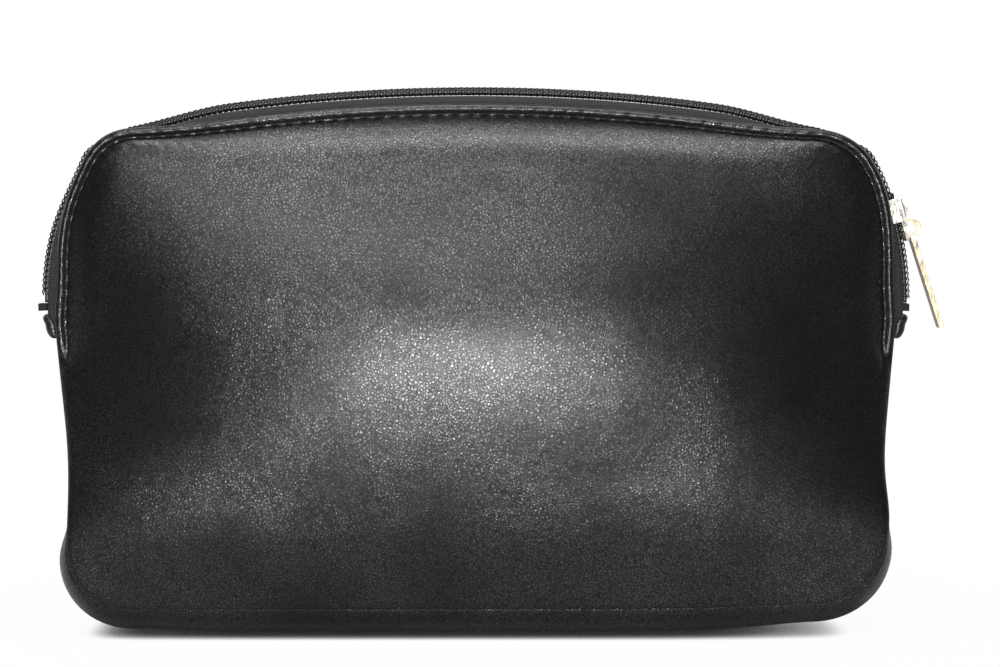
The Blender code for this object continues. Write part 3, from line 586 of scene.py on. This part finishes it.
def tooth_shift(side):
    """Where the first tooth of a half stands, in tooth pitches: the halves lie between each other."""
    return 0.75 if side < 0 else 0.25


def squared(wave):
    """A wave with flatter crests."""
    return np.sign(wave) * np.abs(wave) ** COIL_SQUARENESS


def coil_path(side):
    """Centreline of one half of the coil."""
    low = TAPE + COIL_SEAT_GAP + FILAMENT
    high = TAPE + COIL_SEAT_GAP + COIL_HEIGHT - FILAMENT
    mid = (low + high) / 2
    whole = zip_line(COIL_END_ANGLE, pi - COIL_END_ANGLE, mid)
    turns = int(whole.run[-1] / TOOTH_PITCH) - 1
    step = np.arange(turns * COIL_TURN_STEPS + 1) / COIL_TURN_STEPS
    phase = 2 * pi * step
    ease = np.sin(phase * 2) * COIL_EASE
    places = (step + tooth_shift(side) + ease) * TOOTH_PITCH
    line = zip_line(COIL_END_ANGLE, pi - COIL_END_ANGLE, mid, places=places)
    head = -TOOTH_OVERLAP + FILAMENT
    back = COIL_HALF_WIDTH - FILAMENT
    y = (head + back) / 2 - (back - head) / 2 * squared(np.cos(phase)) + line.gap
    out = line.lift + mid + (high - low) / 2 * squared(np.sin(phase))
    return np.stack([line.x + line.nx * out, side * y, line.z + line.nz * out], axis=1)


def core_path(side):
    """Centreline of the cord that fills one half of the coil."""
    mid = TAPE + COIL_SEAT_GAP + COIL_HEIGHT / 2
    line = zip_line(COIL_END_ANGLE, pi - COIL_END_ANGLE, mid)
    out = line.lift + mid
    y = CORE_ACROSS + line.gap
    return np.stack([line.x + line.nx * out, side * y, line.z + line.nz * out], axis=1)


def sewing_path(side, across):
    """A thread that runs along the coil and dips between its turns."""
    top = TAPE + COIL_SEAT_GAP + COIL_HEIGHT
    whole = zip_line(COIL_END_ANGLE, pi - COIL_END_ANGLE, top)
    step = np.arange(int(whole.run[-1] / TOOTH_PITCH - 1) * 8) / 8
    places = (step + tooth_shift(side)) * TOOTH_PITCH
    line = zip_line(COIL_END_ANGLE, pi - COIL_END_ANGLE, top, places=places)
    out = line.lift + top + SEWING_LIFT + SEWING_DIP * np.cos(2 * pi * (step - 0.25))
    y = across + line.gap
    return np.stack([line.x + line.nx * out, side * y, line.z + line.nz * out], axis=1)


# Topstitch threads along the turned edge
THREAD_RADIUS = 0.0003
STITCH_SHARE = 0.84
STITCH_END_ANGLE = radians(-3.5)
STITCH_AIM = (0.45, 0.48)
STITCH_SLANT = 0.00008
STITCH_DIP = 0.0006


def stitches(side):
    """Every stitch as a short thread that lies in the groove and dips into the leather at its ends."""
    ends = STITCH_END_ANGLE, pi - STITCH_END_ANGLE
    share = np.linspace(0, 1, 9)
    parts = []
    for start in zip_line(*ends, spacing=STITCH_PITCH).run[:-1]:
        places = start + STITCH_PITCH * (0.5 + (share - 0.5) * STITCH_SHARE)
        at = hemmed(zip_line(*ends, places=places))
        to_x, to_z = at.x * STITCH_AIM[0] - at.x, ZIP_PEAK_HEIGHT * STITCH_AIM[1] - at.z
        size = np.hypot(to_x, to_z)
        slant = -(to_x * at.nx + to_z * at.nz) / size
        inset = (STITCH_INSET + STITCH_SLANT * (share - 0.5)) / slant
        x, z = at.x + to_x / size * inset, at.z + to_z / size * inset
        dip = STITCH_DIP * np.abs(share * 2 - 1) ** 4
        y = ZIP_HALF_DEPTH - GROOVE_DEPTH + THREAD_RADIUS * 0.8 - dip
        parts.append(tube(np.stack([x, side * y, z], axis=1), THREAD_RADIUS, 6))
    return gathered(parts)


class Nodes:
    """A small helper that builds a material's node tree."""

    def __init__(self, name):
        self.material = bpy.data.materials.new(name)
        self.material.use_nodes = True
        self.tree = self.material.node_tree
        self.shader = self.tree.nodes["Principled BSDF"]
        self.place = self.add("ShaderNodeTexCoord").outputs["Object"]

    def add(self, kind, inputs=None, **settings):
        node = self.tree.nodes.new(kind)
        for key, value in settings.items():
            setattr(node, key, value)
        for key, value in (inputs or {}).items():
            if isinstance(value, bpy.types.NodeSocket):
                self.tree.links.new(value, node.inputs[key])
            else:
                node.inputs[key].default_value = value
        return node

    def noise(self, scale, detail=3.0, place=None, distortion=0.0):
        values = {"Vector": place or self.place, "Scale": scale, "Detail": detail, "Distortion": distortion}
        return self.add("ShaderNodeTexNoise", values).outputs["Fac"]

    def cells(self, scale, place):
        values = {"Vector": place, "Scale": scale}
        return self.add("ShaderNodeTexVoronoi", values, feature="DISTANCE_TO_EDGE").outputs["Distance"]

    def wave(self, scale, direction, distortion):
        values = {"Vector": self.place, "Scale": scale, "Distortion": distortion, "Detail": 1.0}
        return self.add("ShaderNodeTexWave", values, bands_direction=direction).outputs["Fac"]

    def math(self, operation, first, second=0.0):
        return self.add("ShaderNodeMath", {0: first, 1: second}, operation=operation).outputs[0]

    def fit(self, value, low, high, to_low=0.0, to_high=1.0, interpolation="LINEAR"):
        values = {"Value": value, "From Min": low, "From Max": high, "To Min": to_low, "To Max": to_high}
        return self.add("ShaderNodeMapRange", values, interpolation_type=interpolation).outputs["Result"]

    def colours(self, factor, first, second):
        node = self.add("ShaderNodeMix", {"Factor": factor}, data_type="RGBA")
        node.inputs["A"].default_value = (*first, 1.0)
        node.inputs["B"].default_value = (*second, 1.0)
        self.tree.links.new(node.outputs["Result"], self.shader.inputs["Base Color"])

    def bump(self, height, distance, strength=1.0, normal=None):
        values = {"Height": height, "Distance": distance, "Strength": strength}
        if normal:
            values["Normal"] = normal
        return self.add("ShaderNodeBump", values).outputs["Normal"]

    def finish(self, normal=None, roughness=None, **values):
        if normal:
            self.tree.links.new(normal, self.shader.inputs["Normal"])
        if roughness is not None:
            if isinstance(roughness, bpy.types.NodeSocket):
                self.tree.links.new(roughness, self.shader.inputs["Roughness"])
            else:
                self.shader.inputs["Roughness"].default_value = roughness
        for key, value in values.items():
            self.shader.inputs[key.replace("_", " ")].default_value = value
        return self.material


# Fineness of what the leather's surface shows, per metre, and how high it stands
PEBBLES, SMALL_PEBBLES, PORES, FOLDS, DRIFTS = 1400.0, 2900.0, 5200.0, 120.0, 260.0
PEBBLE_HEIGHT, PORE_HEIGHT, FOLD_HEIGHT = 0.00006, 0.00002, 0.00035
PEBBLE_DRIFT = 0.0012


def leather_material(name, roughness, grain):
    """Black drum-dyed leather: irregular pebbles with fine creases between them, with painted shade that
    darkens the creases.
    """
    make = Nodes(name)
    values = {"Vector": make.place, "Scale": DRIFTS, "Detail": 2.0}
    drift = make.add("ShaderNodeTexNoise", values).outputs["Color"]
    offset = make.add("ShaderNodeVectorMath", {0: drift, 1: (0.5, 0.5, 0.5)}, operation="SUBTRACT").outputs[0]
    values = {0: offset, "Scale": PEBBLE_DRIFT}
    offset = make.add("ShaderNodeVectorMath", values, operation="SCALE").outputs[0]
    place = make.add("ShaderNodeVectorMath", {0: make.place, 1: offset}, operation="ADD").outputs[0]
    large = make.fit(make.cells(PEBBLES, place), 0.0, 0.36, interpolation="SMOOTHSTEP")
    small = make.fit(make.cells(SMALL_PEBBLES, place), 0.0, 0.34, interpolation="SMOOTHSTEP")
    strength = make.fit(make.noise(34.0, 2.0), 0.32, 0.7, 0.45, 1.0)
    height = make.math("ADD", make.math("MULTIPLY", large, 0.6), make.math("MULTIPLY", small, 0.4))
    height = make.math("MULTIPLY", height, strength)
    pores = make.noise(PORES, 2.0)
    folds = make.noise(FOLDS, 4.0, distortion=0.6)
    normal = make.bump(folds, FOLD_HEIGHT, 0.35)
    normal = make.bump(height, PEBBLE_HEIGHT * grain, 0.9, normal)
    normal = make.bump(pores, PORE_HEIGHT, 0.6, normal)
    # Painted shade: the base colour is darker in the creases between pebbles than on their tops.
    make.colours(height, (0.002, 0.002, 0.0022), (0.005, 0.005, 0.0055))
    rough = make.fit(height, 0.0, 1.0, roughness + 0.08, roughness)
    rough = make.math("ADD", rough, make.fit(folds, 0.3, 0.7, 0.02, -0.02))
    # Painted shade: the Specular IOR Level is lowered in the creases, a painted occlusion of the sheen there.
    make.tree.links.new(make.fit(height, 0.1, 0.8, 0.15, 0.7), make.shader.inputs["Specular IOR Level"])
    return make.finish(normal, rough)


def woven_material(name, colour, pale, pitch, roughness):
    """Cloth of a plain weave, from two crossed waves in the object's own space, with painted shade in the
    hollows of the weave.
    """
    make = Nodes(name)
    along, deep, up = (make.wave(pi / 10 / pitch, direction, 1.5) for direction in "XYZ")
    height = make.math("MAXIMUM", make.math("MULTIPLY", along, up), make.math("MULTIPLY", deep, up))
    fibres = make.noise(4000.0, 3.0)
    height = make.math("ADD", height, make.math("MULTIPLY", fibres, 0.5))
    normal = make.bump(height, pitch * 0.4, 0.9)
    # Painted shade: the colour follows the weave's relief, dark in its hollows and pale on its crests, with
    # some random fibre tone added.
    make.colours(height, colour, pale)
    return make.finish(normal, roughness, Specular_IOR_Level=0.25)


def thread_material(name, colour, pale):
    """Twisted sewing thread, with painted shade in the grooves of its twist."""
    make = Nodes(name)
    twist = make.wave(600.0, "DIAGONAL", 2.0)
    # Painted shade: the colour follows the twist's relief, dark in its grooves and pale on its crests.
    make.colours(twist, colour, pale)
    return make.finish(make.bump(twist, 0.00008, 0.8), 0.75, Specular_IOR_Level=0.15)


def nylon_material(name, colour, roughness, specular):
    """Slightly mottled nylon."""
    make = Nodes(name)
    mottle = make.noise(900.0, 3.0)
    make.colours(mottle, colour, tuple(value * 2.2 for value in colour))
    rough = make.fit(mottle, 0.3, 0.7, roughness - 0.06, roughness + 0.08)
    return make.finish(make.bump(mottle, 0.00003, 0.5), rough, Specular_IOR_Level=specular)


# Fineness of the scratches, which run along Z, per metre
SCRATCHES = (6000.0, 6000.0, 240.0)


def plated_material(name, colour, shade, roughness):
    """Gold plating with fine scratches and a little tarnish, in the colours given."""
    make = Nodes(name)
    scratch_space = make.add("ShaderNodeMapping", {"Vector": make.place, "Scale": SCRATCHES}).outputs[0]
    scratch = make.noise(1.0, 2.0, scratch_space)
    tarnish = make.noise(420.0, 3.0)
    make.colours(make.fit(tarnish, 0.35, 0.75), colour, shade)
    rough = make.fit(make.math("ADD", scratch, tarnish), 0.7, 1.3, roughness, roughness + 0.12)
    return make.finish(make.bump(scratch, 0.000012, 0.5), rough, Metallic=1.0)


# Where the soft bag departs from its regular outline: places (x, z), reach (x, z) and shift (x, z), in mm
OUTLINE_SHIFTS = (
    (-101, 90, 16, 30, 1.0, 0.0), (90, 0, 30, 20, 0.0, 1.8), (78, 126, 20, 14, 0.0, -0.3),
    (-97, 112, 13, 13, 1.9, 0.0), (102, 29, 14, 9, 1.6, 0.0), (-99, 40, 14, 26, 1.4, 0.0),
)


def lie(points):
    """Shift points of the soft bag in the plane of its panels, as it lies in the photograph."""
    moved = points.copy()
    for x, z, wide, high, shift_x, shift_z in OUTLINE_SHIFTS:
        weight = np.exp(-((points[:, 0] / MM - x) / wide) ** 2 - ((points[:, 2] / MM - z) / high) ** 2)
        moved[:, 0] += weight * shift_x * MM
        moved[:, 2] += weight * shift_z * MM
    return moved


def add_soft(name, shape, material, replaces=()):
    """A piece of the soft bag, from its points, faces and caps."""
    points, faces, caps = shape
    return add_mesh(name, lie(points), faces, material, "bag", replaces, caps)


def soften(item, material, width):
    """Give a piece of the CAD its material and rounded edges."""
    item.data.materials[0] = material
    bevel = item.modifiers.new("soft_edges", "BEVEL")
    bevel.width = width
    bevel.segments = 4
    bevel.limit_method = "ANGLE"
    bevel.angle_limit = radians(30)


# Leather tabs over the ends of the zip
TAB_END_ANGLE = radians(-7.4)
TAB_HALF_WIDTH = 0.0092
TAB_PUFF = 0.0013
TAB_SAG = 0.0012
TAB_THICKNESS = LEATHER * 0.75


def tab_layer(right):
    """The leather tab folded over an end of the zip."""
    outer, inner = [], []
    angle = np.linspace(TAB_END_ANGLE, TAB_START_ANGLE, 24)
    arc = ARCS[0]
    base = stand_out(0, angle)
    share = (angle - TAB_END_ANGLE) / (TAB_START_ANGLE - TAB_END_ANGLE)
    puff = TAB_PUFF * np.sin(pi * share) ** 0.6
    nx, nz = np.cos(angle), np.sin(angle)
    x, z = arc.x + arc.radius * nx, arc.z + arc.radius * nz
    line = Line(x, z, nx, nz, *(np.zeros_like(x) for _ in range(6)))
    for across in np.linspace(-1, 1, 25):
        drop = TAB_SAG * abs(across) ** 4
        y = TAB_HALF_WIDTH * across
        outer.append((y, base + TAPE + COIL_SEAT_GAP + TAB_THICKNESS + puff - drop))
        inner.append((y, base + TAPE + COIL_SEAT_GAP - drop))
    points, faces, caps = strip(line, outer, inner)
    if not right:
        points[:, 0] *= -1
    return points, faces, caps


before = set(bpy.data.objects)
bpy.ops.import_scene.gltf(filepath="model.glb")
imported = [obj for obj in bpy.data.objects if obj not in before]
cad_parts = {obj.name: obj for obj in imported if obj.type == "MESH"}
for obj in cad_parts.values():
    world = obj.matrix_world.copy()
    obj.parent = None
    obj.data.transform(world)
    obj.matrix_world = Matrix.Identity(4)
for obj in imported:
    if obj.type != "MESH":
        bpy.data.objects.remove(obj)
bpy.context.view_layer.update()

leather = leather_material("grained_leather", 0.235, 0.8)
edge_leather = leather_material("edge_leather", 0.30, 0.6)
lining_cloth = woven_material("lining_weave", (0.010, 0.010, 0.012), (0.035, 0.035, 0.038), 0.0005, 0.75)
padding = woven_material("felted_padding", (0.62, 0.61, 0.58), (0.80, 0.79, 0.76), 0.0012, 0.9)
tape_cloth = woven_material("tape_weave", (0.002, 0.002, 0.0025), (0.016, 0.016, 0.018), 0.0005, 0.85)
thread = thread_material("black_thread", (0.002, 0.002, 0.0025), (0.010, 0.010, 0.011))
nylon = nylon_material("black_nylon", (0.003, 0.003, 0.0035), 0.42, 0.35)
moulded = nylon_material("moulded_nylon", (0.0015, 0.0015, 0.002), 0.6, 0.12)
board = woven_material("fibre_board", (0.05, 0.045, 0.04), (0.11, 0.10, 0.09), 0.0006, 0.85)
# Painted reflection: the slider's copy of the plating is paled toward white, standing in for the white
# backdrop it reflects; the puller's copy keeps a deeper gold.
gold = plated_material("gold_plating_paled_as_painted_reflection", (0.86, 0.82, 0.75), (0.76, 0.71, 0.62), 0.1)
puller_gold = plated_material("puller_gold_plating", (0.80, 0.68, 0.49), (0.60, 0.48, 0.32), 0.12)

CUSHION = cushion_heights(panel_path())
INSETS = (OUTER_INSETS, INNER_INSETS)
INTERLINING_EDGE = 0.0068
LINING_EDGE = 0.0026
GUSSET_LINING_EDGE = 0.0007
PLAIN_INSETS = ([MM * value for value in (0, 1.5, 3.5, 6)],) * 2
depth = LEATHER + SEAM_GAP
lined = depth + INTERLINING + SEAM_GAP
for word, side in (("front", -1), ("back", 1)):
    shape = panel_layer(side, 0.0, LEATHER, 0.0, INSETS, (FACE_STEPS, INNER_STEPS), True)
    add_soft(f"{word}_leather", shape, leather, (f"{word}_panel",))
    shape = panel_layer(side, depth, depth + INTERLINING, INTERLINING_EDGE, PLAIN_INSETS, (12, 8))
    add_soft(f"{word}_padding", shape, padding, (f"{word}_interlining",))
    shape = panel_layer(side, lined, lined + LINING, LINING_EDGE, PLAIN_INSETS, (12, 8))
    add_soft(f"{word}_lining", shape, lining_cloth, (f"lining_{word}",))
    add_soft(f"{word}_tape", tape_layer(side), tape_cloth, (f"zip_tape_{word}",))
    wound = gathered([tube(coil_path(side), FILAMENT, 8), tube(core_path(side), CORE_RADIUS, 8)])
    add_soft(f"{word}_coil", wound, nylon, (f"zip_coil_{word}",))
    rows = [tube(sewing_path(side, across), SEWING_RADIUS, 5) for across in SEWING_ROWS]
    add_soft(f"{word}_coil_sewing", gathered(rows), thread)
    add_soft(f"{word}_topstitch", stitches(side), thread)
add_soft("gusset_leather", gusset_layer(0.0, LEATHER, SEAM_GAP), leather, ("gusset",))
shape = gusset_layer(lined, lined + LINING, GUSSET_LINING_EDGE)
add_soft("gusset_lining", shape, lining_cloth, ("lining_gusset",))
shape = gusset_layer(depth, depth + INTERLINING, SEAM_GAP, True)
add_soft("base_board", shape, board, ("base_stiffener",))
add_soft("zip_tab_right", tab_layer(True), edge_leather, ("zip_end_tab_right",))
add_soft("zip_tab_left", tab_layer(False), edge_leather, ("zip_end_tab_left",))

for node in ("zip_top_stop_front", "zip_top_stop_back", "zip_bottom_stop"):
    soften(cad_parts[node], moulded, 0.0004)
soften(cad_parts["slider_body"], gold, 0.00018)
soften(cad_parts["slider_puller"], puller_gold, 0.0004)

# Camera, at the height of the zip, a little right of the middle
CAMERA_PLACE = Vector((0.0064, -0.75, 0.11))
CAMERA_AIM = Vector((0.0064, 0.0, 0.0716))
CAMERA_LENS = 111.6
camera = bpy.data.objects.new("camera", bpy.data.cameras.new("camera"))
bpy.context.scene.collection.objects.link(camera)
camera.location = CAMERA_PLACE
camera.rotation_euler = (CAMERA_AIM - CAMERA_PLACE).to_track_quat("-Z", "Y").to_euler()
camera.data.lens = CAMERA_LENS
bpy.context.scene.camera = camera


def add_softbox(name, place, aim, size, power):
    """A lamp with a soft square face, aimed at a point."""
    data = bpy.data.lights.new(name, "AREA")
    data.shape = "RECTANGLE"
    data.size, data.size_y = size
    data.energy = power
    item = bpy.data.objects.new(name, data)
    bpy.context.scene.collection.objects.link(item)
    item.location = place
    item.rotation_euler = (Vector(aim) - Vector(place)).to_track_quat("-Z", "Y").to_euler()


add_softbox("key", (-0.01, -0.9, 0.09), (0.0, 0.0, 0.06), (0.10, 0.08), 13.0)
add_softbox("front_above", (-0.12, -0.55, 0.5), (0.0, 0.0, 0.1), (0.5, 0.25), 4.5)
add_softbox("overhead", (0.0, -0.2, 0.8), (0.0, 0.0, 0.1), (0.6, 0.25), 8.0)

world = bpy.data.worlds.new("studio")
bpy.context.scene.world = world
world.use_nodes = True
tree = world.node_tree
background = tree.nodes["Background"]
background.inputs["Color"].default_value = (1.0, 1.0, 1.0, 1.0)
background.inputs["Strength"].default_value = 0.05


def world_node(kind, **settings):
    node = tree.nodes.new(kind)
    for key, value in settings.items():
        setattr(node, key, value)
    return node


def white_light(strength):
    node = world_node("ShaderNodeBackground")
    node.inputs["Color"].default_value = (1.0, 1.0, 1.0, 1.0)
    if isinstance(strength, bpy.types.NodeSocket):
        tree.links.new(strength, node.inputs["Strength"])
    else:
        node.inputs["Strength"].default_value = strength
    return node.outputs[0]


# The backdrop is white; what reflects in the bag is white behind it and dim on the camera's side
paths = world_node("ShaderNodeLightPath")
toward = world_node("ShaderNodeSeparateXYZ")
tree.links.new(world_node("ShaderNodeTexCoord").outputs["Generated"], toward.inputs[0])
dim = world_node("ShaderNodeMapRange", interpolation_type="SMOOTHSTEP")
for key, value in (("From Min", -0.3), ("From Max", 0.4), ("To Min", 0.06), ("To Max", 1.0)):
    dim.inputs[key].default_value = value
tree.links.new(toward.outputs["Y"], dim.inputs["Value"])
mirrored = world_node("ShaderNodeMath", operation="MAXIMUM")
tree.links.new(paths.outputs["Is Glossy Ray"], mirrored.inputs[0])
tree.links.new(paths.outputs["Is Transmission Ray"], mirrored.inputs[1])
reflected = world_node("ShaderNodeMixShader")
shown = world_node("ShaderNodeMixShader")
tree.links.new(mirrored.outputs[0], reflected.inputs["Fac"])
tree.links.new(background.outputs[0], reflected.inputs[1])
tree.links.new(white_light(dim.outputs["Result"]), reflected.inputs[2])
tree.links.new(paths.outputs["Is Camera Ray"], shown.inputs["Fac"])
tree.links.new(reflected.outputs[0], shown.inputs[1])
tree.links.new(white_light(1.0), shown.inputs[2])
tree.links.new(shown.outputs[0], tree.nodes["World Output"].inputs["Surface"])

# Floor: half its width, and how near the bag its painted contact shadow reaches
FLOOR_HALF = 3.0
CONTACT_REACH = 0.006


def floor_material():
    """Pale paper that runs into the white background; for camera rays it glows white, with a painted contact
    shadow from ambient occlusion near the bag.
    """
    make = Nodes("pale_floor")
    tone = make.noise(3.0, 2.0)
    make.colours(tone, (0.40, 0.40, 0.40), (0.44, 0.44, 0.44))
    paper = make.finish(None, 0.7)
    tree = make.tree
    # Painted shadow: ambient occlusion near the bag dims the floor's white glow, which camera rays see in
    # place of most of the lit paper.
    contact = make.add("ShaderNodeAmbientOcclusion", {"Distance": CONTACT_REACH}, samples=8).outputs["AO"]
    shade = make.fit(contact, 0.1, 0.55, 0.02, 1.0)
    glow = make.add("ShaderNodeEmission", {"Color": (1.0, 1.0, 1.0, 1.0), "Strength": shade}).outputs[0]
    spot = make.add("ShaderNodeVectorMath", {0: make.place}, operation="LENGTH").outputs["Value"]
    far = make.fit(spot, 0.1, 0.2, 0.97, 1.0, "SMOOTHSTEP")
    seen = make.add("ShaderNodeLightPath").outputs["Is Camera Ray"]
    share = make.math("MULTIPLY", far, seen)
    blend = make.add("ShaderNodeMixShader", {"Fac": share})
    tree.links.new(make.shader.outputs[0], blend.inputs[1])
    tree.links.new(glow, blend.inputs[2])
    tree.links.new(blend.outputs[0], tree.nodes["Material Output"].inputs["Surface"])
    return paper


floor_paper = floor_material()
floor_mesh = bpy.data.meshes.new("floor")
floor_mesh.from_pydata(
    [(x * FLOOR_HALF, y * FLOOR_HALF, 0) for x, y in ((-1, -1), (1, -1), (1, 1), (-1, 1))],
    [], [(0, 1, 2, 3)],
)
floor_mesh.materials.append(floor_paper)
floor = bpy.data.objects.new("floor", floor_mesh)
bpy.context.scene.collection.objects.link(floor)

scene = bpy.context.scene
scene.view_settings.view_transform = "Standard"
